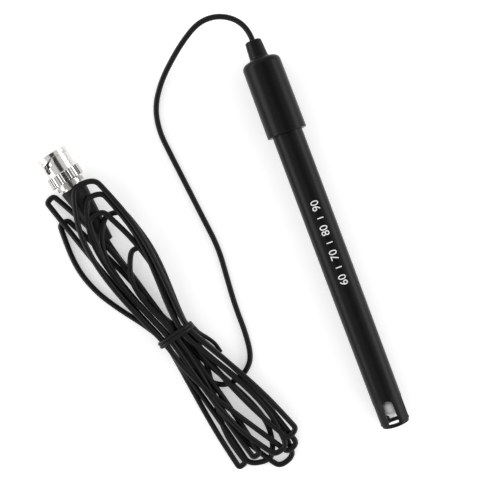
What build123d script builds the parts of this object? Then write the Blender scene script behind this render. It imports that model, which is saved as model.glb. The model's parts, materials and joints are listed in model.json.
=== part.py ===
from build123d import *
from math import atan, cos, pi, radians, sin, sqrt, tan
import os

os.makedirs("parts", exist_ok=True)

# A combination pH electrode with its lead and bayonet plug, all lying on the plane Z = 0.
# The electrode lies along +Y with its bulb at -Y. Lengths are millimetres, angles degrees.

# Body tube, measured from the open end at the bulb, with a spigot that the cap covers
body_d = 12.0
tip_draft = 0.2
tip_d = body_d - 2 * tip_draft
body_wall = 1.7
draft_length = 62.0
exposed_length = 120.0
socket_depth = 12.0
spigot_step = 0.3
bore_d = body_d - 2 * body_wall

# Guard round the bulb, moulded with the tube
guard_wall = 1.2
guard_bore_d = tip_d - 2 * guard_wall
guard_depth = 11.6
window_width = 4.0
window_height = 9.2
window_pairs = 2
ring_height = 1.4
lip_height = 1.1
lip_step = 0.4
lip_round = 0.25
mouth_chamfer = 0.35
guard_roll = 11.2
seat_thickness = 0.8

# Glass stem with the bulb blown on its end
stem_space = 1.3
stem_d = bore_d - 2 * stem_space
seat_space = 0.5
seat_bore_d = stem_d + 2 * seat_space
stem_wall = 0.7
bulb_space = 0.7
bulb_d = guard_bore_d - 2 * bulb_space
bulb_wall = 0.35
bulb_inset = 3.5
stem_end_inset = 5.0

# Reference elements, junction, seals and stopper
wire_d = 0.5
coat_d = 0.9
coat_length = 14.0
inner_wire_inset = 3.0
outer_wire_start = 24.0
wire_reach = 2.4
junction_length = 3.0
seal_length = 2.0
potting_inset = 1.0
potting_length = 5.0
stopper_depth = 5.0
stopper_head = 1.2
bond_gap = 0.03

# Lead
cable_d = 2.2
core_d = 1.3
conductor_d = 0.4
jacket_tail = 4.0
core_tail = 3.5
splice_d = 1.5
splice_length = 3.0
splice_gap = 0.2
collar_d = 5.0
collar_length = 3.0

# Cap with the boss that the lead leaves
cap_wall = 1.85
cap_draft = 0.25
cap_d = body_d + 2 * cap_wall
cap_end_d = cap_d - 2 * cap_draft
cap_length = 30.0
cap_round = 2.4
cap_rim_round = 0.3
cap_roof = 5.0
cavity_step = 0.9
cavity_d = bore_d + 2 * cavity_step
boss_wall = 2.65
boss_draft = 0.55
boss_d = cable_d + 2 * boss_wall
boss_end_d = boss_d - 2 * boss_draft
boss_length = 7.8
boss_round = 0.8
boss_root_round = 1.5

# Bayonet plug, measured along its axis from the back face of the knurl, rearwards
barrel_d = 8.1
running_gap = 0.05
collar_step = 0.55
collar_face_d = barrel_d + 2 * collar_step
sleeve_length = 12.6
sleeve_clearance = 0.3
sleeve_wall = 1.1
sleeve_bore_d = collar_face_d + 2 * sleeve_clearance
sleeve_d = sleeve_bore_d + 2 * sleeve_wall
bead_rise = 0.3
bead_d = sleeve_d + 2 * bead_rise
bead_length = 1.8
bead_groove = 0.25
knurl_rise = 1.25
knurl_d = sleeve_d + 2 * knurl_rise
knurl_length = 4.5
knurl_chamfer = 0.4
knurl_count = 40
knurl_depth = 0.35
web_thickness = 1.5
web_recess = 0.7
knurl_wall = 1.35
recess_d = knurl_d - 2 * knurl_wall
entry_depth = 0.7
lug_d = sleeve_bore_d + 2 * entry_depth
slot_width = 2.0
entry_width = 1.8
slot_span = 3.6
slot_front = 2.8
slot_ramp = 1.4
slot_detent = 1.4
slot_detent_d = 2.4
slot_roll = 25.0
slot_count = 2

collar_face_length = 1.2
contact_d = barrel_d
contact_wall = 0.5
contact_recess = 1.6
contact_seat = 1.0
contact_slot = 0.45
contact_slot_depth = 3.6
contact_slot_pairs = 2
insulator_length = 6.0
insulator_depth = 4.4
pin_d = 1.35
pin_root_d = 2.1
pin_recess = 2.2
pin_round = 0.5
pin_cup_depth = 1.5
conductor_reach = 0.6
gasket_d = collar_face_d
gasket_thickness = 1.0
spring_free_height = 0.7
spring_thickness = 0.2
washer_thickness = 0.4
washer_d = collar_face_d
nut_wall = 0.95
nut_hub_d = barrel_d + 2 * nut_wall
nut_flange_rise = 0.55
nut_flange_d = nut_hub_d + 2 * nut_flange_rise
nut_flange_length = 1.5
nut_collar_wall = 0.15
nut_collar_d = barrel_d + 2 * nut_collar_wall
nut_collar_length = 1.6
hub_length = 1.25
stub_d = 3.6
stub_bore_d = 1.5
stub_length = 8.0
braid_thickness = 0.25
ferrule_wall = 0.6
ferrule_neck = 2.0
boot_front = 3.0
boot_length = 24.4
boot_wall = 1.0
boot_end_wall = 1.5
boot_d = nut_collar_d + 2 * boot_wall
boot_end_d = cable_d + 2 * boot_end_wall
boot_round = 0.5

# Where the plug lies
plug_x = -85.4
plug_y = 53.5
plug_heading = 11.0

# Tied hank of the lead, and its twisted tie
hank_height = 8.0
hank_round = 2.0
hank_clearance = 0.3
strand_layer = 2.4
arch_front = 5.5
tie_x = -67.7
tie_y = -16.8
tie_heading = 14.0
waist_width = 12.6
waist_height = 6.2
waist_round = 2.9
tie_wire_d = 1.6
tie_gap = 0.05
tie_overlap = 0.25


def turning_axis(frame):
    """The line that a turned piece is revolved about."""
    return Axis(frame.origin, frame.z_dir)


def half_section(frame, turn=0):
    """Plane through the frame's axis: X is the radius, Y the station along the axis."""
    angle = radians(turn)
    radius = frame.x_dir * cos(angle) + frame.y_dir * sin(angle)
    return Plane(origin=frame.origin, x_dir=radius, z_dir=radius.cross(frame.z_dir))


def point_on(frame, radius, station):
    """Point at a radius along the frame's X and a station along its axis."""
    return frame.origin + frame.x_dir * radius + frame.z_dir * station


def bend_radii(points):
    """Arc radius at each corner of a route: as large as its two runs allow."""
    radii = []
    for before, corner, after in zip(points, points[1:], points[2:]):
        run_in = Vector(*corner) - Vector(*before)
        run_out = Vector(*after) - Vector(*corner)
        half_turn = radians(run_in.get_angle(run_out)) / 2
        radii.append(0.45 * min(run_in.length, run_out.length) / tan(half_turn))
    return radii


# The electrode rests on its lip end and on the cap's rim, so its axis climbs towards the cap.
cap_rim_station = exposed_length + cap_rim_round
probe_tilt = atan((cap_d - tip_d) / 2 / (cap_rim_station - lip_height))
body_top = exposed_length + socket_depth
stem_end = body_top - stem_end_inset
wire_end = body_top + wire_reach
cap_end = exposed_length + cap_length
boss_end = cap_end + boss_length
probe_z = tip_d / 2 * cos(probe_tilt) - lip_height * sin(probe_tilt)
probe = Plane(
    origin=(0, -boss_end * cos(probe_tilt) / 2, probe_z),
    x_dir=(1, 0, 0),
    z_dir=(0, cos(probe_tilt), sin(probe_tilt)),
)

# The plug rests on its knurl and on the end of its boot, so its axis falls towards the boot.
boot_end = boot_front + boot_length
plug_tilt = atan((knurl_d - boot_end_d) / 2 / (boot_end - boot_round + knurl_chamfer))
heading = radians(plug_heading)
plug_z = knurl_d / 2 * cos(plug_tilt) - knurl_chamfer * sin(plug_tilt)
plug = Plane(
    origin=(plug_x, plug_y, plug_z),
    x_dir=(cos(heading), sin(heading), 0),
    z_dir=(sin(heading) * cos(plug_tilt), -cos(heading) * cos(plug_tilt), -sin(plug_tilt)),
)

# Body tube with the guard: four windows with round tops over a closed end ring
seat_top = guard_depth + seat_thickness
spigot_r = body_d / 2 - spigot_step
tube_profile = [
    (guard_bore_d / 2 + mouth_chamfer, 0),
    (tip_d / 2 - lip_step, 0),
    (tip_d / 2 - lip_step, lip_height),
    (tip_d / 2, lip_height),
    (body_d / 2, draft_length),
    (body_d / 2, exposed_length),
    (spigot_r, exposed_length),
    (spigot_r, body_top),
    (bore_d / 2, body_top),
    (bore_d / 2, seat_top),
    (seat_bore_d / 2, seat_top),
    (seat_bore_d / 2, guard_depth),
    (guard_bore_d / 2, guard_depth),
    (guard_bore_d / 2, mouth_chamfer),
]
tube_rounds = [0, lip_round] + [0] * (len(tube_profile) - 2)
window_radius = window_width / 2
window_crown = ring_height + window_height - window_radius
with BuildPart() as body_tube:
    with BuildSketch(half_section(probe)):
        with BuildLine():
            FilletPolyline(*tube_profile, radius=tube_rounds, close=True)
        make_face()
    revolve(axis=turning_axis(probe))
    for pair in range(window_pairs):
        turn = 180 / window_pairs * pair - guard_roll
        with BuildSketch(half_section(probe, turn)):
            with Locations((0, (ring_height + window_crown) / 2)):
                Rectangle(window_width, window_crown - ring_height)
            with Locations((0, window_crown)):
                Circle(window_radius)
        extrude(amount=body_d, both=True, mode=Mode.SUBTRACT)
body_tube.part.label = "body_tube"
export_step(body_tube.part, "parts/body_tube.step")

# Glass stem and bulb, one blown piece
stem_r = stem_d / 2
stem_inner_r = stem_r - stem_wall
bulb_r = bulb_d / 2
bulb_inner_r = bulb_r - bulb_wall
bulb_middle = bulb_inset + bulb_r
neck = bulb_middle + sqrt(bulb_r**2 - stem_r**2)
inner_neck = bulb_middle + sqrt(bulb_inner_r**2 - stem_inner_r**2)
with BuildPart() as glass_stem:
    with BuildSketch(half_section(probe)):
        with BuildLine():
            ThreePointArc((0, bulb_inset), (bulb_r, bulb_middle), (stem_r, neck))
            Line((stem_r, neck), (stem_r, stem_end))
            Line((stem_r, stem_end), (stem_inner_r, stem_end))
            Line((stem_inner_r, stem_end), (stem_inner_r, inner_neck))
            ThreePointArc(
                (stem_inner_r, inner_neck), (bulb_inner_r, bulb_middle), (0, bulb_inset + bulb_wall)
            )
            Line((0, bulb_inset + bulb_wall), (0, bulb_inset))
        make_face()
    revolve(axis=turning_axis(probe))
glass_stem.part.label = "glass_stem"
export_step(glass_stem.part, "parts/glass_stem.step")

# Reference wires: one inside the stem, one in the space round it, each with a coated end
inner_wire_start = bulb_inset + inner_wire_inset
with BuildPart() as inner_reference_wire:
    with BuildSketch(probe.offset(inner_wire_start)):
        Circle(coat_d / 2)
    extrude(amount=coat_length)
    with BuildSketch(probe.offset(inner_wire_start + coat_length)):
        Circle(wire_d / 2)
    extrude(amount=wire_end - inner_wire_start - coat_length)
inner_reference_wire.part.label = "inner_reference_wire"
export_step(inner_reference_wire.part, "parts/inner_reference_wire.step")

outer_wire_r = (stem_d + bore_d) / 4
with BuildPart() as outer_reference_wire:
    with BuildSketch(probe.offset(outer_wire_start)):
        with Locations((outer_wire_r, 0)):
            Circle(coat_d / 2)
    extrude(amount=coat_length)
    with BuildSketch(probe.offset(outer_wire_start + coat_length)):
        with Locations((outer_wire_r, 0)):
            Circle(wire_d / 2)
    extrude(amount=wire_end - outer_wire_start - coat_length)
outer_reference_wire.part.label = "outer_reference_wire"
export_step(outer_reference_wire.part, "parts/outer_reference_wire.step")

# Porous junction ring on the seat above the guard, and the seal above it
with BuildPart() as reference_junction:
    with BuildSketch(probe.offset(seat_top)):
        Circle(bore_d / 2 - bond_gap)
        Circle(stem_r + bond_gap, mode=Mode.SUBTRACT)
    extrude(amount=junction_length)
reference_junction.part.label = "reference_junction"
export_step(reference_junction.part, "parts/reference_junction.step")

with BuildPart() as stem_seal:
    with BuildSketch(probe.offset(seat_top + junction_length)):
        Circle(bore_d / 2 - bond_gap)
        Circle(stem_r + bond_gap, mode=Mode.SUBTRACT)
    extrude(amount=seal_length)
stem_seal.part.label = "stem_seal"
export_step(stem_seal.part, "parts/stem_seal.step")

# Potting that closes the space round the stem, with the outer wire through it
with BuildPart() as upper_potting:
    with BuildSketch(probe.offset(exposed_length + potting_inset)):
        Circle(bore_d / 2 - bond_gap)
        Circle(stem_r + bond_gap, mode=Mode.SUBTRACT)
        with Locations((outer_wire_r, 0)):
            Circle(wire_d / 2 + bond_gap, mode=Mode.SUBTRACT)
    extrude(amount=potting_length)
upper_potting.part.label = "upper_potting"
export_step(upper_potting.part, "parts/upper_potting.step")

# Rubber stopper in the stem, with the inner wire through it
stopper_profile = [
    (wire_d / 2 + bond_gap, stem_end - stopper_depth),
    (stem_inner_r - bond_gap, stem_end - stopper_depth),
    (stem_inner_r - bond_gap, stem_end),
    (stem_r, stem_end),
    (stem_r, stem_end + stopper_head),
    (wire_d / 2 + bond_gap, stem_end + stopper_head),
]
with BuildPart() as stem_stopper:
    with BuildSketch(half_section(probe)):
        with BuildLine():
            Polyline(*stopper_profile, close=True)
        make_face()
    revolve(axis=turning_axis(probe))
stem_stopper.part.label = "stem_stopper"
export_step(stem_stopper.part, "parts/stem_stopper.step")

# Cap with its boss
roof = cap_end - cap_roof
cap_corners = [
    ((spigot_r + bond_gap, exposed_length), 0),
    ((cap_d / 2, exposed_length), cap_rim_round),
    ((cap_end_d / 2, cap_end), cap_round),
    ((boss_d / 2, cap_end), boss_root_round),
    ((boss_end_d / 2, boss_end), boss_round),
    ((cable_d / 2 + bond_gap, boss_end), 0),
    ((cable_d / 2 + bond_gap, roof), 0),
    ((cavity_d / 2, roof), 0),
    ((cavity_d / 2, body_top), 0),
    ((spigot_r + bond_gap, body_top), 0),
]
with BuildPart() as cap:
    with BuildSketch(half_section(probe)):
        with BuildLine():
            FilletPolyline(
                *[corner for corner, _ in cap_corners],
                radius=[rounding for _, rounding in cap_corners],
                close=True,
            )
        make_face()
    revolve(axis=turning_axis(probe))
cap.part.label = "cap"
export_step(cap.part, "parts/cap.step")

# End of the lead in the cap: jacket, core, conductor, shield pigtail, crimp collar, splices
jacket_end = roof - jacket_tail
core_end = jacket_end - core_tail
with BuildPart() as cable_root:
    with BuildSketch(probe.offset(jacket_end)):
        Circle(cable_d / 2)
    extrude(amount=boss_end - jacket_end)
cable_root.part.label = "cable_root"
export_step(cable_root.part, "parts/cable_root.step")

with BuildPart() as crimp_collar:
    with BuildSketch(probe.offset(roof - collar_length)):
        Circle(collar_d / 2)
        Circle(cable_d / 2 + bond_gap, mode=Mode.SUBTRACT)
    extrude(amount=collar_length)
crimp_collar.part.label = "crimp_collar"
export_step(crimp_collar.part, "parts/crimp_collar.step")

with BuildPart() as cable_core:
    with BuildSketch(probe.offset(core_end)):
        Circle(core_d / 2)
    extrude(amount=core_tail)
cable_core.part.label = "cable_core"
export_step(cable_core.part, "parts/cable_core.step")

with BuildPart() as core_conductor:
    with BuildSketch(probe.offset(wire_end + splice_gap)):
        Circle(conductor_d / 2)
    extrude(amount=core_end - wire_end - splice_gap)
core_conductor.part.label = "core_conductor"
export_step(core_conductor.part, "parts/core_conductor.step")

pigtail_r = (core_d + wire_d) / 2
pigtail_route = [
    point_on(probe, pigtail_r, jacket_end),
    point_on(probe, pigtail_r, jacket_end - wire_d * 2),
    point_on(probe, outer_wire_r, jacket_end - outer_wire_r),
    point_on(probe, outer_wire_r, wire_end + splice_gap),
]
with BuildPart() as shield_pigtail:
    with BuildLine() as pigtail_path:
        FilletPolyline(*pigtail_route, radius=wire_d)
    with BuildSketch(Plane(origin=pigtail_path.line @ 0, z_dir=pigtail_path.line % 0)):
        Circle(wire_d / 2)
    sweep(path=pigtail_path.line)
shield_pigtail.part.label = "shield_pigtail"
export_step(shield_pigtail.part, "parts/shield_pigtail.step")

with BuildPart() as inner_splice:
    with BuildSketch(probe.offset(wire_end - splice_length / 2)):
        Circle(splice_d / 2)
        Circle(wire_d / 2 + bond_gap, mode=Mode.SUBTRACT)
    extrude(amount=splice_length)
inner_splice.part.label = "inner_splice"
export_step(inner_splice.part, "parts/inner_splice.step")

with BuildPart() as outer_splice:
    with BuildSketch(probe.offset(wire_end - splice_length / 2)):
        with Locations((outer_wire_r, 0)):
            Circle(splice_d / 2)
            Circle(wire_d / 2 + bond_gap, mode=Mode.SUBTRACT)
    extrude(amount=splice_length)
outer_splice.part.label = "outer_splice"
export_step(outer_splice.part, "parts/outer_splice.step")

# Free stretch of the lead: out of the boss, round and down to the surface, along to the hank
cable_z = cable_d / 2
exit_run = 4.3
free_route = [
    tuple(point_on(probe, 0, boss_end)),
    tuple(point_on(probe, 0, boss_end + exit_run)),
    (-3.2, 89.2, 8.4),
    (-9.6, 93.2, 7.4),
    (-17.0, 93.5, 6.0),
    (-24.4, 89.6, 4.6),
    (-31.7, 84.2, 3.1),
    (-38.8, 77.7, 1.8),
    (-44.4, 69.5, cable_z),
    (-46.2, 60.0, cable_z),
    (-45.2, 50.0, cable_z),
    (-43.7, 37.0, cable_z),
    (-42.1, 22.5, cable_z),
    (-40.5, 9.0, cable_z),
    (-41.6, -4.0, cable_z),
    (-42.4, -15.0, cable_z),
    (-42.3, -26.0, cable_z),
    (-43.4, -35.2, cable_z),
    (-46.8, -39.6, cable_z),
    (-51.8, -42.0, cable_z),
]
free_radii = bend_radii(free_route)
with BuildPart() as cable_free:
    with BuildLine() as free_path:
        FilletPolyline(*free_route, radius=free_radii)
    with BuildSketch(Plane(origin=free_path.line @ 0, z_dir=free_path.line % 0)):
        Circle(cable_d / 2)
    sweep(path=free_path.line)
cable_free.part.label = "cable_free"
export_step(cable_free.part, "parts/cable_free.step")

# Coupling sleeve: knurled band, web that turns on the barrel, two bayonet slots
sleeve_front = -sleeve_length
web_back = -web_recess
web_front = web_back - web_thickness
knurl_front = -knurl_length
bead_back = sleeve_front + bead_length
sleeve_profile = [
    (sleeve_bore_d / 2, sleeve_front),
    (bead_d / 2 - bead_groove, sleeve_front),
    (bead_d / 2, sleeve_front + bead_groove),
    (bead_d / 2, bead_back - bead_groove),
    (bead_d / 2 - bead_groove, bead_back),
    (sleeve_d / 2 - bead_groove, bead_back),
    (sleeve_d / 2 - bead_groove, bead_back + bead_groove),
    (sleeve_d / 2, bead_back + 2 * bead_groove),
    (sleeve_d / 2, knurl_front),
    (knurl_d / 2 - knurl_chamfer, knurl_front),
    (knurl_d / 2, knurl_front + knurl_chamfer),
    (knurl_d / 2, -knurl_chamfer),
    (knurl_d / 2 - knurl_chamfer, 0),
    (recess_d / 2, 0),
    (recess_d / 2, web_back),
    (barrel_d / 2 + running_gap, web_back),
    (barrel_d / 2 + running_gap, web_front),
    (sleeve_bore_d / 2, web_front),
]
slot_start = (-slot_span / 2, sleeve_front + slot_front)
slot_knee = (slot_span / 2, sleeve_front + slot_front + slot_ramp)
slot_end = (slot_span / 2, sleeve_front + slot_front + slot_ramp + slot_detent)
with BuildPart() as coupling_sleeve:
    with BuildSketch(half_section(plug)):
        with BuildLine():
            Polyline(*sleeve_profile, close=True)
        make_face()
    revolve(axis=turning_axis(plug))
    with BuildSketch(plug.offset(knurl_front)):
        with PolarLocations(knurl_d / 2, knurl_count):
            RegularPolygon(radius=knurl_depth, side_count=4)
    extrude(amount=knurl_length, mode=Mode.SUBTRACT)
    for slot in range(slot_count):
        turn = 180 + slot_roll + 360 / slot_count * slot
        slot_plane = half_section(plug, turn)
        with BuildSketch(slot_plane):
            with BuildLine():
                Polyline(slot_start, slot_knee, slot_end)
            trace(line_width=slot_width)
            with Locations(slot_start, slot_knee):
                Circle(slot_width / 2)
            with Locations(slot_end):
                Circle(slot_detent_d / 2)
        extrude(amount=knurl_d / 2, mode=Mode.SUBTRACT)
        with BuildSketch(slot_plane):
            with Locations((slot_start[0], sleeve_front + slot_front / 2)):
                Rectangle(entry_width, slot_front)
        extrude(amount=lug_d / 2, mode=Mode.SUBTRACT)
coupling_sleeve.part.label = "coupling_sleeve"
export_step(coupling_sleeve.part, "parts/coupling_sleeve.step")

# Plug body: collar inside the sleeve, barrel that carries it, stub that the braid is crimped on
washer_front = web_front - running_gap - washer_thickness
collar_back = washer_front - spring_free_height
collar_face = collar_back - collar_face_length
nut_front = web_back + running_gap
nut_flange_front = nut_front + hub_length
nut_flange_back = nut_flange_front + nut_flange_length
nut_back = nut_flange_back + nut_collar_length
stub_end = nut_flange_back + stub_length
contact_inner_r = contact_d / 2 - contact_wall
insulator_back = collar_face + insulator_depth
body_profile = [
    (contact_d / 2 + bond_gap, collar_face),
    (collar_face_d / 2, collar_face),
    (collar_face_d / 2, collar_back),
    (barrel_d / 2, collar_back),
    (barrel_d / 2, nut_flange_back),
    (stub_d / 2, nut_flange_back),
    (stub_d / 2, stub_end),
    (stub_bore_d / 2, stub_end),
    (stub_bore_d / 2, insulator_back),
    (contact_inner_r, insulator_back),
    (contact_inner_r, collar_face + contact_seat),
    (contact_d / 2 + bond_gap, collar_face + contact_seat),
]
with BuildPart() as plug_body:
    with BuildSketch(half_section(plug)):
        with BuildLine():
            Polyline(*body_profile, close=True)
        make_face()
    revolve(axis=turning_axis(plug))
plug_body.part.label = "plug_body"
export_step(plug_body.part, "parts/plug_body.step")

# Slotted outer contact, pressed into the collar
contact_front = sleeve_front + contact_recess
with BuildPart() as outer_contact:
    with BuildSketch(plug.offset(contact_front)):
        Circle(contact_d / 2)
        Circle(contact_inner_r, mode=Mode.SUBTRACT)
    extrude(amount=collar_face + contact_seat - contact_front)
    for pair in range(contact_slot_pairs):
        with BuildSketch(half_section(plug, 180 / contact_slot_pairs * pair)):
            with Locations((0, contact_front + contact_slot_depth / 2)):
                Rectangle(contact_slot, contact_slot_depth)
        extrude(amount=contact_d, both=True, mode=Mode.SUBTRACT)
outer_contact.part.label = "outer_contact"
export_step(outer_contact.part, "parts/outer_contact.step")

# Insulator, centre pin in it, and the conductor in the pin's cup
insulator_front = insulator_back - insulator_length
with BuildPart() as plug_insulator:
    with BuildSketch(plug.offset(insulator_front)):
        Circle(contact_inner_r - bond_gap)
        Circle(pin_root_d / 2 + bond_gap, mode=Mode.SUBTRACT)
    extrude(amount=insulator_length)
plug_insulator.part.label = "plug_insulator"
export_step(plug_insulator.part, "parts/plug_insulator.step")

pin_front = sleeve_front + pin_recess
pin_corners = [
    ((0, pin_front), 0),
    ((pin_d / 2, pin_front), pin_round),
    ((pin_d / 2, insulator_front), 0),
    ((pin_root_d / 2, insulator_front), 0),
    ((pin_root_d / 2, insulator_back), 0),
    ((conductor_d / 2 + bond_gap, insulator_back), 0),
    ((conductor_d / 2 + bond_gap, insulator_back - pin_cup_depth), 0),
    ((0, insulator_back - pin_cup_depth), 0),
]
with BuildPart() as centre_pin:
    with BuildSketch(half_section(plug)):
        with BuildLine():
            FilletPolyline(
                *[corner for corner, _ in pin_corners],
                radius=[rounding for _, rounding in pin_corners],
                close=True,
            )
        make_face()
    revolve(axis=turning_axis(plug))
centre_pin.part.label = "centre_pin"
export_step(centre_pin.part, "parts/centre_pin.step")

plug_core_front = insulator_back + conductor_reach
with BuildPart() as plug_conductor:
    with BuildSketch(plug.offset(insulator_back - pin_cup_depth)):
        Circle(conductor_d / 2)
    extrude(amount=pin_cup_depth + conductor_reach)
plug_conductor.part.label = "plug_conductor"
export_step(plug_conductor.part, "parts/plug_conductor.step")

with BuildPart() as plug_core:
    with BuildSketch(plug.offset(plug_core_front)):
        Circle(core_d / 2)
    extrude(amount=stub_end - plug_core_front)
plug_core.part.label = "plug_core"
export_step(plug_core.part, "parts/plug_core.step")

# Gasket on the collar's face, curved spring washer and thrust washer behind the collar
with BuildPart() as gasket:
    with BuildSketch(plug.offset(collar_face - gasket_thickness)):
        Circle(gasket_d / 2)
        Circle(contact_d / 2 + bond_gap, mode=Mode.SUBTRACT)
    extrude(amount=gasket_thickness)
gasket.part.label = "gasket"
export_step(gasket.part, "parts/gasket.step")

spring_rise = spring_free_height - spring_thickness
with BuildPart() as spring_washer:
    with BuildSketch(plug.offset(washer_front - spring_free_height)):
        Circle(washer_d / 2)
        Circle(barrel_d / 2 + running_gap, mode=Mode.SUBTRACT)
    extrude(amount=spring_free_height)
    with BuildSketch(half_section(plug)):
        with BuildLine():
            ThreePointArc(
                (-washer_d / 2, washer_front - spring_thickness),
                (0, washer_front - spring_free_height),
                (washer_d / 2, washer_front - spring_thickness),
            )
            Line((washer_d / 2, washer_front - spring_thickness), (washer_d / 2, washer_front))
            ThreePointArc(
                (washer_d / 2, washer_front),
                (0, washer_front - spring_rise),
                (-washer_d / 2, washer_front),
            )
            Line((-washer_d / 2, washer_front), (-washer_d / 2, washer_front - spring_thickness))
        make_face()
    extrude(amount=washer_d, both=True, mode=Mode.INTERSECT)
spring_washer.part.label = "spring_washer"
export_step(spring_washer.part, "parts/spring_washer.step")

with BuildPart() as thrust_washer:
    with BuildSketch(plug.offset(washer_front)):
        Circle(washer_d / 2)
        Circle(barrel_d / 2 + running_gap, mode=Mode.SUBTRACT)
    extrude(amount=washer_thickness)
thrust_washer.part.label = "thrust_washer"
export_step(thrust_washer.part, "parts/thrust_washer.step")

# Rear nut on the barrel, the sleeve's back stop
braid_r = stub_d / 2 + braid_thickness
ferrule_r = braid_r + ferrule_wall
nut_profile = [
    (barrel_d / 2 + bond_gap, nut_front),
    (nut_hub_d / 2, nut_front),
    (nut_hub_d / 2, nut_flange_front),
    (nut_flange_d / 2, nut_flange_front),
    (nut_flange_d / 2, nut_flange_back),
    (nut_collar_d / 2, nut_flange_back),
    (nut_collar_d / 2, nut_back),
    (ferrule_r + bond_gap, nut_back),
    (ferrule_r + bond_gap, nut_flange_back),
    (barrel_d / 2 + bond_gap, nut_flange_back),
]
with BuildPart() as rear_nut:
    with BuildSketch(half_section(plug)):
        with BuildLine():
            Polyline(*nut_profile, close=True)
        make_face()
    revolve(axis=turning_axis(plug))
rear_nut.part.label = "rear_nut"
export_step(rear_nut.part, "parts/rear_nut.step")

# Braid folded over the stub, and the ferrule crimped over it and the jacket
with BuildPart() as cable_braid:
    with BuildSketch(plug.offset(nut_flange_back)):
        Circle(braid_r)
        Circle(stub_d / 2 + bond_gap, mode=Mode.SUBTRACT)
    extrude(amount=stub_length)
cable_braid.part.label = "cable_braid"
export_step(cable_braid.part, "parts/cable_braid.step")

ferrule_end = stub_end + ferrule_neck
neck_r = cable_d / 2 + ferrule_wall
ferrule_profile = [
    (braid_r + bond_gap, nut_flange_back),
    (ferrule_r, nut_flange_back),
    (ferrule_r, stub_end),
    (neck_r, stub_end + ferrule_r - neck_r),
    (neck_r, ferrule_end),
    (cable_d / 2 + bond_gap, ferrule_end),
    (cable_d / 2 + bond_gap, stub_end),
    (braid_r + bond_gap, stub_end),
]
with BuildPart() as crimp_ferrule:
    with BuildSketch(half_section(plug)):
        with BuildLine():
            Polyline(*ferrule_profile, close=True)
        make_face()
    revolve(axis=turning_axis(plug))
crimp_ferrule.part.label = "crimp_ferrule"
export_step(crimp_ferrule.part, "parts/crimp_ferrule.step")

# Tapered boot over the nut's collar and the ferrule, with the lead through its end
boot_corners = [
    ((nut_collar_d / 2 + bond_gap, boot_front), 0),
    ((boot_d / 2, boot_front), boot_round),
    ((boot_end_d / 2, boot_end), boot_round),
    ((cable_d / 2 + bond_gap, boot_end), 0),
    ((cable_d / 2 + bond_gap, ferrule_end), 0),
    ((ferrule_r + bond_gap, ferrule_end), 0),
    ((ferrule_r + bond_gap, nut_back), 0),
    ((nut_collar_d / 2 + bond_gap, nut_back), 0),
]
with BuildPart() as boot:
    with BuildSketch(half_section(plug)):
        with BuildLine():
            FilletPolyline(
                *[corner for corner, _ in boot_corners],
                radius=[rounding for _, rounding in boot_corners],
                close=True,
            )
        make_face()
    revolve(axis=turning_axis(plug))
boot.part.label = "boot"
export_step(boot.part, "parts/boot.step")

cable_plug_end_length = boot_end + hank_clearance - stub_end
with BuildPart() as cable_plug_end:
    with BuildSketch(plug.offset(stub_end)):
        Circle(cable_d / 2)
    extrude(amount=cable_plug_end_length)
cable_plug_end.part.label = "cable_plug_end"
export_step(cable_plug_end.part, "parts/cable_plug_end.step")

# Tied hank as one outer shape: two fans, a waist in the tie, and an arch over the boot
tie_angle = radians(tie_heading)
waist_z = tie_wire_d + tie_gap + waist_height / 2
tie = Plane(
    origin=(tie_x, tie_y, waist_z),
    x_dir=(cos(tie_angle), sin(tie_angle), 0),
    z_dir=(-sin(tie_angle), cos(tie_angle), 0),
)
hank_outline = [
    (-75.5, -18.0),
    (-70.0, -40.0),
    (-65.5, -62.0),
    (-61.5, -75.5),
    (-46.0, -79.5),
    (-38.5, -71.0),
    (-42.0, -54.0),
    (-52.6, -35.0),
    (-57.9, -26.2),
    (-60.9, -18.4),
    (-62.2, -10.0),
    (-63.5, 5.0),
    (-65.5, 25.0),
    (-76.0, 47.0),
    (-86.5, 51.0),
    (-97.5, 47.0),
    (-96.5, 28.0),
    (-88.0, 5.0),
]
tunnel_r = boot_d / 2 + hank_clearance
tunnel_end_r = boot_end_d / 2 + hank_clearance
tunnel_end = boot_end + hank_clearance
clear_front = sleeve_front - hank_clearance
head_r = knurl_d / 2 + hank_clearance
head_back = nut_flange_back + hank_clearance
arch_profile = [
    (0, arch_front),
    (tunnel_r + strand_layer, arch_front),
    (tunnel_end_r + strand_layer, tunnel_end),
    (0, tunnel_end),
]
tunnel_profile = [
    (0, clear_front),
    (head_r, clear_front),
    (head_r, head_back),
    (tunnel_r, head_back),
    (tunnel_end_r, tunnel_end),
    (0, tunnel_end),
]
tunnel_plan = tunnel_profile + [(-x, y) for x, y in reversed(tunnel_profile[1:-1])]
band_length = 2 * tie_wire_d - tie_overlap + 2 * tie_gap
with BuildPart() as cable_hank:
    with BuildSketch():
        with BuildLine():
            Spline(*hank_outline, periodic=True)
        make_face()
    extrude(amount=hank_height)
    fillet(cable_hank.edges().filter_by(Plane.XY), radius=hank_round)
    with BuildSketch(half_section(plug)):
        with BuildLine():
            Polyline(*arch_profile, close=True)
        make_face()
    revolve(axis=turning_axis(plug))
    with BuildSketch(half_section(plug)):
        with BuildLine():
            Polyline(*tunnel_profile, close=True)
        make_face()
    revolve(axis=turning_axis(plug), mode=Mode.SUBTRACT)
    with BuildSketch(half_section(plug)):
        with BuildLine():
            Polyline(*tunnel_plan, close=True)
        make_face()
    extrude(amount=knurl_d, mode=Mode.SUBTRACT)
    with BuildSketch(tie.offset(-band_length / 2)):
        Rectangle(4 * waist_width, 4 * waist_height)
        RectangleRounded(waist_width, waist_height, waist_round, mode=Mode.SUBTRACT)
    extrude(amount=band_length, mode=Mode.SUBTRACT)
    with BuildSketch():
        with Locations((plug_x, plug_y)):
            Rectangle(3 * boot_length, 4 * boot_length)
    extrude(amount=-hank_height, mode=Mode.SUBTRACT)
cable_hank.part.label = "cable_hank"
export_step(cable_hank.part, "parts/cable_hank.step")

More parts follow.
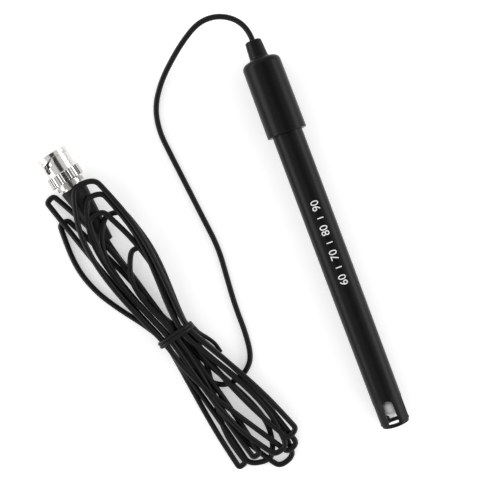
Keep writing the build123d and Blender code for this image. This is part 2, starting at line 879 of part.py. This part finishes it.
# Twisted wire tie: two wraps round the waist and the twisted tail beside it
tie_loop_width = waist_width + 2 * tie_gap + tie_wire_d
tie_loop_height = waist_height + 2 * tie_gap + tie_wire_d
tie_loop_round = waist_round + tie_gap + tie_wire_d / 2
tail_z = tie_wire_d / 2
tail_route = [
    tuple(tie.origin + tie.x_dir * tie_loop_width / 2),
    (-59.4, -19.2, 2.4),
    (-57.0, -22.3, 1.2),
    (-54.9, -25.6, tail_z),
    (-54.0, -29.6, tail_z),
]
tail_radii = bend_radii(tail_route)
loop_x = tie_loop_width / 2
loop_y = tie_loop_height / 2
loop_corners = [(-loop_x, -loop_y), (loop_x, -loop_y), (loop_x, loop_y), (-loop_x, loop_y)]
with BuildPart() as twist_tie:
    for side in (-1, 1):
        with BuildLine(tie.offset(side * (tie_wire_d - tie_overlap) / 2)) as wrap:
            FilletPolyline(*loop_corners, radius=tie_loop_round, close=True)
        with BuildSketch(Plane(origin=wrap.line @ 0, z_dir=wrap.line % 0)):
            Circle(tie_wire_d / 2)
        sweep(path=wrap.line)
    with BuildLine() as tail:
        FilletPolyline(*tail_route, radius=tail_radii)
    with BuildSketch(Plane(origin=tail.line @ 0, z_dir=tail.line % 0)):
        Circle(tie_wire_d / 2)
    sweep(path=tail.line)
twist_tie.part.label = "twist_tie"
export_step(twist_tie.part, "parts/twist_tie.step")

section = pi * cable_d**2 / 4
free_length = sum(edge.length for edge in free_path.edges())
straight = section * cable_plug_end_length
print("free lead: radii", [round(radius, 1) for radius in free_radii])
print("free lead: volume over section x length",
      round(cable_free.part.volume / section / free_length, 4),
      "length", round(free_length, 1))
print("plug end of the lead: volume over section x length",
      round(cable_plug_end.part.volume / straight, 4))
print("tie tail: radii", [round(radius, 1) for radius in tail_radii])
for built in (coupling_sleeve, plug_body, spring_washer, boot, cable_hank, twist_tie):
    print(built.part.label, "solids", len(built.part.solids()),
          "volume", round(built.part.volume, 1))
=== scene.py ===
import json
from math import cos, radians, sin

import bmesh
import bpy
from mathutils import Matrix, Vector
from mathutils.bvhtree import BVHTree


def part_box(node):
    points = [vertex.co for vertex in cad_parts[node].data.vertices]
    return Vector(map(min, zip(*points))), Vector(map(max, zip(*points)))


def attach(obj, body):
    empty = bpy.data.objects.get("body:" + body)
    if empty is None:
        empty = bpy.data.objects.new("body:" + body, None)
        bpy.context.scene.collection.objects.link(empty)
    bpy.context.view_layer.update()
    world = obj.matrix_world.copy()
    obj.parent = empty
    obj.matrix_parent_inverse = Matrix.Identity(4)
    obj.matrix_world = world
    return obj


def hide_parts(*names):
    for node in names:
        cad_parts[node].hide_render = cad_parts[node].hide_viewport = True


# Looks of a combination pH electrode with its tied lead and bayonet plug. Lengths are metres, but the
# lead's points are in millimetres.

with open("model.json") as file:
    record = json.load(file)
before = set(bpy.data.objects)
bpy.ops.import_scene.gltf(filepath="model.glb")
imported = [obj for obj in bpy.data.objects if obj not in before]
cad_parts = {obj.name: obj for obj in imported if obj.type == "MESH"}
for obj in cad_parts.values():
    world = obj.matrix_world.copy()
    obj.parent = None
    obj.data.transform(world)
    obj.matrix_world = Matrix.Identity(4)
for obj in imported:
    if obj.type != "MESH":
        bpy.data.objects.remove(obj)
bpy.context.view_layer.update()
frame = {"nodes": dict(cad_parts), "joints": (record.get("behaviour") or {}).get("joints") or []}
nodes = frame["nodes"]
joints = {joint["name"]: joint for joint in frame["joints"]}
millimetre = 0.001

# Camera: straight above, turned so that the electrode leans to the left of the picture
camera_height = 0.374
camera_x = -0.0306
camera_y = 0.00697
camera_turn = radians(-20.6)
photo_side = 488
focal_pixels = 950.8
sensor = 36.0

camera_data = bpy.data.cameras.new("camera")
camera_data.sensor_width = sensor
camera_data.lens = sensor * focal_pixels / photo_side
camera_data.clip_start = 0.01
camera_data.clip_end = 20
camera = bpy.data.objects.new("camera", camera_data)
camera.location = (camera_x, camera_y, camera_height)
camera.rotation_euler = (0, 0, camera_turn)
bpy.context.scene.collection.objects.link(camera)
bpy.context.scene.camera = camera


def new_material(name):
    """An empty node material and its shader."""
    material = bpy.data.materials.new(name)
    material.use_nodes = True
    shader = material.node_tree.nodes["Principled BSDF"]
    return material, shader


def add_node(material, kind, **values):
    """A node with some of its inputs or settings given."""
    node = material.node_tree.nodes.new(kind)
    for key, value in values.items():
        if key in node.inputs:
            node.inputs[key].default_value = value
        else:
            setattr(node, key, value)
    return node


def link(material, output, target):
    material.node_tree.links.new(output, target)


def object_point(material):
    """Texture coordinates in the row frame, in metres."""
    return add_node(material, "ShaderNodeTexCoord").outputs["Object"]


def noise(material, scale, detail=3.0, roughness=0.5):
    """Noise in the row frame, from 0 to 1. Scale is in cells a metre."""
    texture = add_node(material, "ShaderNodeTexNoise")
    texture.inputs["Scale"].default_value = scale
    texture.inputs["Detail"].default_value = detail
    texture.inputs["Roughness"].default_value = roughness
    link(material, object_point(material), texture.inputs["Vector"])
    return texture.outputs["Fac"]


def ramp(material, factor, low, high, start=0.0, end=1.0):
    """A colour ramp between two colours."""
    node = add_node(material, "ShaderNodeValToRGB")
    node.color_ramp.elements[0].position = start
    node.color_ramp.elements[1].position = end
    node.color_ramp.elements[0].color = (*low, 1)
    node.color_ramp.elements[1].color = (*high, 1)
    link(material, factor, node.inputs["Fac"])
    return node.outputs["Color"]


def spread(material, factor, low, high):
    """A factor from 0 to 1 stretched over a range of values."""
    node = add_node(material, "ShaderNodeMapRange")
    node.inputs["To Min"].default_value = low
    node.inputs["To Max"].default_value = high
    link(material, factor, node.inputs["Value"])
    return node.outputs["Result"]


def bump(material, shader, height, distance, strength=1.0):
    """Bump of that depth, in metres."""
    node = add_node(material, "ShaderNodeBump")
    node.inputs["Distance"].default_value = distance
    node.inputs["Strength"].default_value = strength
    link(material, height, node.inputs["Height"])
    link(material, node.outputs["Normal"], shader.inputs["Normal"])


def plastic(name, low, high, rough_low, rough_high, grain, depth, specular=0.5):
    """Moulded plastic or rubber: faint mottling, uneven gloss and a fine grain."""
    material, shader = new_material(name)
    link(material, ramp(material, noise(material, 90), low, high), shader.inputs["Base Color"])
    rough = spread(material, noise(material, 260, 5), rough_low, rough_high)
    link(material, rough, shader.inputs["Roughness"])
    bump(material, shader, noise(material, grain, 4), depth)
    shader.inputs["Specular IOR Level"].default_value = specular
    return material


def metal(name, low, high, rough_low, rough_high, grain=2600, depth=2e-6):
    """Plated or drawn metal: slight tone changes and fine turning marks."""
    material, shader = new_material(name)
    link(material, ramp(material, noise(material, 320), low, high), shader.inputs["Base Color"])
    shader.inputs["Metallic"].default_value = 1.0
    rough = spread(material, noise(material, 700, 5), rough_low, rough_high)
    link(material, rough, shader.inputs["Roughness"])
    bump(material, shader, noise(material, grain, 3), depth)
    return material


def finish(names, material):
    """Puts one material on several CAD nodes."""
    for name in names:
        nodes[name].data.materials.clear()
        nodes[name].data.materials.append(material)
        for polygon in nodes[name].data.polygons:
            polygon.material_index = 0


deep_black = ((0.003, 0.003, 0.003), (0.006, 0.006, 0.006))
soft_black = ((0.004, 0.004, 0.004), (0.007, 0.007, 0.007))
body_black = plastic("body_black", *soft_black, 0.26, 0.36, 900, 4e-6, 0.13)
cap_black = plastic("cap_black", *deep_black, 0.26, 0.34, 800, 5e-6, 0.13)
jacket_black = plastic("jacket_black", *deep_black, 0.3, 0.42, 1800, 8e-6, 0.2)
boot_black = plastic("boot_black", *soft_black, 0.38, 0.5, 1500, 1e-5, 0.16)
tie_black = plastic("tie_black", *soft_black, 0.32, 0.44, 1500, 8e-6, 0.2)
white_plastic = plastic("white_plastic", (0.74, 0.74, 0.72), (0.84, 0.84, 0.82), 0.35, 0.5, 900, 5e-6)
resin = plastic("resin", (0.03, 0.03, 0.032), (0.05, 0.05, 0.052), 0.35, 0.5, 700, 1e-5)
red_rubber = plastic("red_rubber", (0.30, 0.05, 0.035), (0.40, 0.08, 0.05), 0.5, 0.65, 1200, 1e-5)
ceramic = plastic("ceramic", (0.70, 0.67, 0.60), (0.82, 0.79, 0.72), 0.6, 0.8, 4000, 2e-5)
nickel = metal("nickel", (0.66, 0.65, 0.63), (0.78, 0.77, 0.75), 0.12, 0.2)
dark_nickel = metal("dark_nickel", (0.34, 0.335, 0.325), (0.46, 0.455, 0.44), 0.16, 0.26)
silver = metal("silver", (0.62, 0.62, 0.60), (0.78, 0.78, 0.76), 0.2, 0.32)
copper = metal("copper", (0.68, 0.36, 0.22), (0.80, 0.46, 0.30), 0.2, 0.3)
tinned = metal("tinned", (0.55, 0.54, 0.52), (0.68, 0.67, 0.64), 0.25, 0.4, 5000, 2e-5)
gold = metal("gold", (0.74, 0.52, 0.20), (0.86, 0.66, 0.32), 0.14, 0.22)
steel = metal("steel", (0.42, 0.42, 0.42), (0.55, 0.55, 0.55), 0.22, 0.34)

bulb_glass, glass_shader = new_material("bulb_glass")
link(bulb_glass, ramp(bulb_glass, noise(bulb_glass, 300), (0.84, 0.85, 0.84), (0.92, 0.93, 0.92)),
     glass_shader.inputs["Base Color"])
link(bulb_glass, spread(bulb_glass, noise(bulb_glass, 500), 0.05, 0.12), glass_shader.inputs["Roughness"])
glass_shader.inputs["Transmission Weight"].default_value = 0.15
glass_shader.inputs["IOR"].default_value = 1.47
glass_shader.inputs["Coat Weight"].default_value = 0.5

finish(["body_tube"], body_black)
finish(["cap"], cap_black)
finish(["glass_stem"], bulb_glass)
finish(["cable_free", "cable_hank", "cable_root", "cable_plug_end"], jacket_black)
finish(["boot"], boot_black)
finish(["twist_tie"], tie_black)
finish(["plug_insulator", "cable_core", "plug_core"], white_plastic)
finish(["upper_potting"], resin)
finish(["stem_seal", "stem_stopper", "gasket"], red_rubber)
finish(["reference_junction"], ceramic)
finish(["coupling_sleeve", "plug_body", "outer_contact"], nickel)
finish(["rear_nut"], dark_nickel)
finish(["inner_reference_wire", "outer_reference_wire"], silver)
finish(["core_conductor", "plug_conductor"], copper)
finish(["shield_pigtail", "cable_braid", "inner_splice", "outer_splice"], tinned)
finish(["crimp_collar", "crimp_ferrule"], tinned)
finish(["centre_pin"], gold)
finish(["spring_washer", "thrust_washer"], steel)

# Generic immersion scale on the tube's upper side: tens of millimetres from the bulb's end, read from the
# bulb towards the cap. The share is a capital's height in the font's size.
scale_marks = (60, 70, 80, 90)
glyph_height = 0.0031
glyph_share = 0.72
tick_length = 0.0024
tick_width = 0.0004
mark_lift = 0.00004
above_tube = 0.05
ink_white = plastic("ink_white", (0.72, 0.72, 0.72), (0.84, 0.84, 0.84), 0.5, 0.6, 2000, 2e-6)
tube_tree = BVHTree.FromObject(nodes["body_tube"], bpy.context.evaluated_depsgraph_get())
tube_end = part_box("body_tube")[0][1]


def lay_on_tube(mesh):
    """Lays a flat mesh on the tube: its x runs along the tube, its y across it."""
    for vertex in mesh.vertices:
        above = Vector((-vertex.co.y, tube_end + vertex.co.x, above_tube))
        hit, normal = tube_tree.ray_cast(above, Vector((0, 0, -1)))[:2]
        vertex.co = hit + normal * mark_lift


def scale_numeral(value):
    """The flat outline of one number, its middle at its station."""
    curve = bpy.data.curves.new("scale_" + str(value), "FONT")
    curve.body = str(value)
    curve.size = glyph_height / glyph_share
    curve.align_x = "CENTER"
    curve.align_y = "CENTER"
    text = bpy.data.objects.new("scale_" + str(value), curve)
    text.location = (value * millimetre, 0, 0)
    bpy.context.scene.collection.objects.link(text)
    bpy.context.view_layer.update()
    mesh = bpy.data.meshes.new_from_object(text.evaluated_get(bpy.context.evaluated_depsgraph_get()))
    mesh.transform(text.matrix_world)
    bpy.data.objects.remove(text)
    return mesh


scale_form = bmesh.new()
for value in scale_marks:
    scale_form.from_mesh(scale_numeral(value))
for number in range(len(scale_marks) - 1):
    station = (scale_marks[number] + scale_marks[number + 1]) / 2 * millimetre
    corners = [(station + side * tick_width / 2, across * tick_length / 2, 0)
               for side, across in ((-1, -1), (1, -1), (1, 1), (-1, 1))]
    scale_form.faces.new([scale_form.verts.new(corner) for corner in corners])
bmesh.ops.subdivide_edges(scale_form, edges=scale_form.edges, cuts=2, use_grid_fill=True)
bmesh.ops.triangulate(scale_form, faces=scale_form.faces)
scale_mesh = bpy.data.meshes.new("immersion_scale")
scale_form.to_mesh(scale_mesh)
scale_form.free()
lay_on_tube(scale_mesh)
scale_mesh.materials.append(ink_white)
immersion_scale = bpy.data.objects.new("immersion_scale", scale_mesh)
bpy.context.scene.collection.objects.link(immersion_scale)
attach(immersion_scale, "electrode")

# The lead: its free stretch, as the part's source has it, in millimetres
lead_d = 0.0022
free_route = [
    (0.0, 78.89, 8.49),
    (0.0, 83.19, 8.56),
    (-3.2, 89.2, 8.4),
    (-9.6, 93.2, 7.4),
    (-17.0, 93.5, 6.0),
    (-24.4, 89.6, 4.6),
    (-31.7, 84.2, 3.1),
    (-38.8, 77.7, 1.8),
    (-44.4, 69.5, 1.1),
    (-46.2, 60.0, 1.1),
    (-45.2, 50.0, 1.1),
    (-43.7, 37.0, 1.1),
    (-42.1, 22.5, 1.1),
    (-40.5, 9.0, 1.1),
    (-41.6, -4.0, 1.1),
    (-42.4, -15.0, 1.1),
    (-42.3, -26.0, 1.1),
    (-43.4, -35.2, 1.1),
    (-46.8, -39.6, 1.1),
    (-51.8, -42.0, 1.1),
]
to_first_slot = [
    (-58.0, -42.2, 1.1),
    (-63.6, -37.6, 1.2),
    (-67.2, -28.6, 1.9),
]

# The hank: strands pass the tie in three layers of slots, and fan out on both sides of it.
tie_x, tie_y = -67.7, -16.8
tie_heading = radians(14)
slot_pitch = 2.55
layer_heights = (2.75, 4.75, 6.75)
upper_fan = (16, -4)
lower_fan = (19, 4.5)
leg_points = 5
leg_start_keep = 0.3
shoulder_drop = 1.3
left_slots = [(-1, 0), (-2, 0), (-2, 1), (-1, 1), (0, 2), (-1, 2), (-2, 2), (1, 0)]
right_slots = [(2, 0), (0, 0), (0, 1), (2, 1), (1, 1), (1, 2), (2, 2)]

# Each half turn: apex x and y, its radius, the headings of its left and right legs there in degrees,
# how far each leg keeps that heading, the legs' height and the apex's height
upper_turns = [
    (-80.0, 37.4, 3.0, -8, 30, 0.42, 0.36, 2.4, 9.3),
    (-93.7, 39.7, 1.7, -8, 28, 0.50, 0.30, 1.2, 1.3),
    (-95.4, 49.9, 1.8, 18, 32, 0.35, 0.35, 3.6, 2.6),
    (-72.9, 35.8, 3.2, -45, 22, 0.30, 0.40, 3.4, 6.6),
    (-68.9, 19.9, 3.0, -34, 11, 0.38, 0.30, 5.4, 5.2),
    (-77.5, 44.6, 2.8, -30, 25, 0.32, 0.42, 5.6, 9.8),
    (-79.4, 50.2, 4.0, -24, 25, 0.32, 0.42, 8.0, 11.6),
]
lower_turns = [
    (-61.4, -73.9, 1.8, 14, 27, 0.35, 0.35, 1.5, 1.2),
    (-54.8, -75.3, 4.4, 12, -30, 0.35, 0.25, 1.5, 1.2),
    (-54.9, -71.9, 1.5, 16, 12, 0.35, 0.35, 3.5, 3.4),
    (-44.8, -78.6, 3.2, 40, -4, 0.35, 0.35, 2.5, 1.3),
    (-45.4, -73.1, 2.6, 40, -4, 0.35, 0.30, 6.0, 4.6),
    (-40.9, -74.0, 2.4, 32, 12, 0.35, 0.40, 6.4, 3.4),
    (-38.9, -68.4, 2.4, 32, 20, 0.35, 0.40, 6.4, 5.4),
]


def slot_point(slot):
    """Where a strand passes the tie: a place across it and a layer."""
    across, layer = slot
    reach = across * slot_pitch
    x = tie_x + cos(tie_heading) * reach
    y = tie_y + sin(tie_heading) * reach
    return Vector((x, y, layer_heights[layer]))


def heading(angle, side):
    """Level direction away from the tie, on its upper or lower side."""
    a = radians(angle)
    return Vector((-sin(a), cos(a), 0)) if side > 0 else Vector((sin(a), -cos(a), 0))


def leg(slot, side, shoulder, end_heading, keep, height):
    """Control points from the tie to a turn's shoulder."""
    start = slot_point(slot)
    middle, step = upper_fan if side > 0 else lower_fan
    long = (shoulder - start).to_2d().length
    out = start + heading(middle + step * slot[0], side) * long * leg_start_keep
    back = shoulder - end_heading * long * keep
    points = []
    for k in range(1, leg_points + 1):
        t = k / leg_points
        point = (start * (1 - t) ** 3 + out * 3 * t * (1 - t) ** 2
                 + back * 3 * t**2 * (1 - t) + shoulder * t**3)
        point.z = start.z * (1 - t) ** 2 + height * 2 * t * (1 - t) + shoulder.z * t**2
        points.append(point)
    return points


def half_turn(left, right, side, turn):
    """Control points of one half turn, from its left slot round the apex to its right slot."""
    x, y, radius, left_angle, right_angle, left_keep, right_keep, leg_height, height = turn
    up_left, up_right = heading(left_angle, side), heading(right_angle, side)
    lean = (up_left + up_right).normalized()
    across = Vector((lean.y, -lean.x, 0)) * side * radius
    apex = Vector((x, y, height))
    left_shoulder = apex - across - up_left * shoulder_drop * radius
    right_shoulder = apex + across - up_right * shoulder_drop * radius
    going = leg(left, side, left_shoulder, up_left, left_keep, leg_height)
    coming = leg(right, side, right_shoulder, up_right, right_keep, leg_height)
    return going + [apex - across, apex + across] + coming[::-1]


# Where the lead meets the end of the boot
plug_joint = joints["sleeve_turn"]
plug_front = Vector(plug_joint["axis"]).normalized()
plug_origin = Vector(plug_joint["pos_m"])
boot_end = 27.4 * millimetre
entry_gap = 0.3 * millimetre
straight_end = 6 * millimetre
boot_mouth = plug_origin - plug_front * (boot_end + entry_gap)
to_plug = [
    (-70.9, -8.0, 2.4),
    (-73.6, 3.0, 1.4),
    (-76.5, 13.0, 1.2),
]

route = [Vector(point) for point in free_route + to_first_slot]
for number, (upper, lower) in enumerate(zip(upper_turns, lower_turns)):
    left, right = left_slots[number], right_slots[number]
    route.append(slot_point(left))
    route += half_turn(left, right, 1, upper)
    route.append(slot_point(right))
    route += half_turn(left_slots[number + 1], right, -1, lower)[::-1]
route.append(slot_point(left_slots[-1]))
route += [Vector(point) for point in to_plug]
route += [(boot_mouth - plug_front * straight_end) / millimetre, boot_mouth / millimetre]

lead_curve = bpy.data.curves.new("lead", "CURVE")
lead_curve.dimensions = "3D"
spline = lead_curve.splines.new("NURBS")
spline.points.add(len(route) - 1)
for point, place in zip(spline.points, route):
    point.co = (*(place * millimetre), 1)
spline.order_u = 3
spline.use_endpoint_u = True
spline.resolution_u = 8
lead_curve.bevel_depth = lead_d / 2
lead_curve.bevel_resolution = 5
lead_curve.use_fill_caps = True
lead_curve.materials.append(jacket_black)
lead = bpy.data.objects.new("lead", lead_curve)
bpy.context.scene.collection.objects.link(lead)
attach(lead, "electrode")
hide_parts("cable_free", "cable_hank")

# Floor and light
floor_mesh = bpy.data.meshes.new("floor")
floor_side = 3.0
floor_mesh.from_pydata(
    [(-floor_side, -floor_side, 0), (floor_side, -floor_side, 0), (floor_side, floor_side, 0),
     (-floor_side, floor_side, 0)],
    [], [(0, 1, 2, 3)])
floor = bpy.data.objects.new("floor", floor_mesh)
bpy.context.scene.collection.objects.link(floor)
floor_material, floor_shader = new_material("floor")
floor_shader.inputs["Base Color"].default_value = (0.8, 0.8, 0.8, 1)
floor_shader.inputs["Roughness"].default_value = 0.7
floor_shader.inputs["Specular IOR Level"].default_value = 0.0

# Where it is seen, directly or in a mirror image, the floor is lifted to white and keeps its shadows
floor_lift = 0.42
light_path = add_node(floor_material, "ShaderNodeLightPath")
seen = light_path.outputs["Is Camera Ray"]
for kind in ("Is Glossy Ray", "Is Transmission Ray"):
    either = add_node(floor_material, "ShaderNodeMath", operation="MAXIMUM")
    link(floor_material, seen, either.inputs[0])
    link(floor_material, light_path.outputs[kind], either.inputs[1])
    seen = either.outputs["Value"]
floor_shader.inputs["Emission Color"].default_value = (1, 1, 1, 1)
lift = spread(floor_material, seen, 0.0, floor_lift)
link(floor_material, lift, floor_shader.inputs["Emission Strength"])
floor_mesh.materials.append(floor_material)

world = bpy.data.worlds.new("world")
bpy.context.scene.world = world
world.use_nodes = True
background = world.node_tree.nodes["Background"]
background.inputs["Color"].default_value = (1, 1, 1, 1)

# The camera and its stand darken a patch of the sky, which the plug's sleeve and the cap mirror
world_strength = 0.78
patch_strength = 0.04
patch_lean = radians(7)
image_right = Vector((cos(camera_turn), sin(camera_turn), 0))
patch_way = image_right * sin(patch_lean) + Vector((0, 0, cos(patch_lean)))
patch_rim, patch_core = cos(radians(22)), cos(radians(15))
sky_way = add_node(world, "ShaderNodeTexCoord").outputs["Generated"]
facing = add_node(world, "ShaderNodeVectorMath", operation="DOT_PRODUCT")
facing.inputs[1].default_value = patch_way
link(world, sky_way, facing.inputs[0])
sky = add_node(world, "ShaderNodeMapRange")
sky.inputs["From Min"].default_value = patch_rim
sky.inputs["From Max"].default_value = patch_core
sky.inputs["To Min"].default_value = world_strength
sky.inputs["To Max"].default_value = patch_strength
link(world, facing.outputs["Value"], sky.inputs["Value"])
link(world, sky.outputs["Result"], background.inputs["Strength"])


def area_light(name, place, target, width, height, power):
    """A soft box that faces a point."""
    data = bpy.data.lights.new(name, "AREA")
    data.shape = "RECTANGLE"
    data.size = width
    data.size_y = height
    data.energy = power
    lamp = bpy.data.objects.new(name, data)
    lamp.location = place
    lamp.rotation_euler = (Vector(target) - Vector(place)).to_track_quat("-Z", "Y").to_euler()
    bpy.context.scene.collection.objects.link(lamp)


box_target = (-0.03, 0, 0)
box_width, box_height, box_power = 1.6, 0.6, 9
area_light("left_box", (-1.0, 0.36, 0.36), box_target, box_width, box_height, box_power)
area_light("right_box", (0.95, -0.36, 0.36), box_target, box_width, box_height, box_power)

bpy.context.scene.view_settings.view_transform = "Standard"
